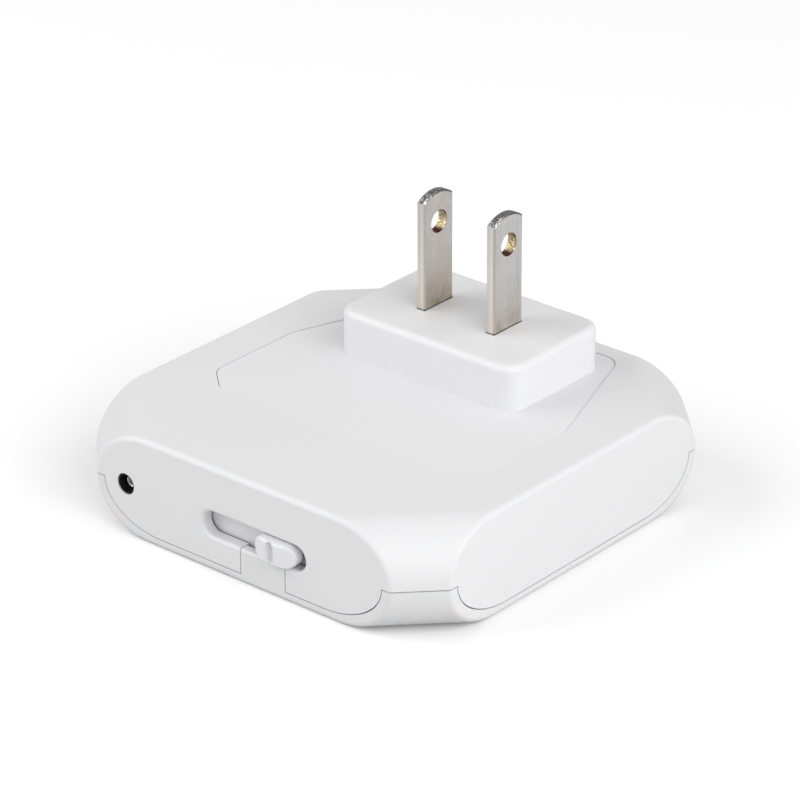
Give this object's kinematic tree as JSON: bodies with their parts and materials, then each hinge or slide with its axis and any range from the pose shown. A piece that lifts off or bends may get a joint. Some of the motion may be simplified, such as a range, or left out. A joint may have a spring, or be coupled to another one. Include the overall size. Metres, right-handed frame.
{
  "type": "plug in night light",
  "caption": "Square plug in night light with rounded corners, two flat plug blades on its back, a light sensor and a dimmer slider in one side.",
  "frame": {"origin": "centre of the front cover's flat face, which the light lies on", "axes": "+Z out of the back along the plug blades, -Y the side with the dimmer slider, X along the slider's travel"},
  "size_m": [0.065, 0.0663, 0.0403],
  "materials": {
    "white_plastic": "satin",
    "milky_plastic": "satin, slightly translucent",
    "insulator": "matte",
    "nickel_plate": "nickel plated brass",
    "screw_steel": "zinc plated",
    "board_laminate": "white solder mask",
    "solder": "bright",
    "led_housing": "matte",
    "led_phosphor": "gloss",
    "film_box": "gloss",
    "can_sleeve": "gloss",
    "resistor_coat": "matte",
    "resistor_blue": "gloss",
    "black_epoxy": "matte",
    "tinned_wire": "bright",
    "dimmer_sheet": "tin plated",
    "dimmer_board": "matte",
    "dimmer_plastic": "matte",
    "black_rubber": "matte",
    "clear_epoxy": "clear"
  },
  "bodies": {
    "light": {"rear_housing": "white_plastic", "plug_base": "white_plastic", "front_diffuser": "milky_plastic", "blade_left": "nickel_plate", "blade_right": "nickel_plate", "blade_retainer": "insulator", "retainer_screws": "screw_steel", "plug_base_screws": "screw_steel", "board_screws": "screw_steel", "main_board": "board_laminate", "leds": "led_housing", "led_windows": "led_phosphor", "blade_solder": "solder", "film_capacitor": "film_box", "smoothing_capacitor": "can_sleeve", "fusible_resistor": "resistor_coat", "bleed_resistor": "resistor_blue", "component_leads": "tinned_wire", "bridge_rectifier": "black_epoxy", "driver_chip": "black_epoxy", "switch_transistor": "black_epoxy", "package_legs": "tinned_wire", "chip_resistors": "black_epoxy", "dimmer_shell": "dimmer_sheet", "dimmer_base": "dimmer_board", "dimmer_terminals": "tinned_wire", "sensor_sleeve": "black_rubber", "light_sensor": "clear_epoxy", "sensor_legs": "tinned_wire"},
    "slider": {"slider_knob": "white_plastic", "dimmer_carriage": "dimmer_plastic"}
  },
  "joints": [
    {"name": "dimmer_slide", "type": "slide", "parent": "light", "child": "slider", "axis": [-1, 0, 0], "range_m": [-0.0011, 0.0096]}
  ]
}
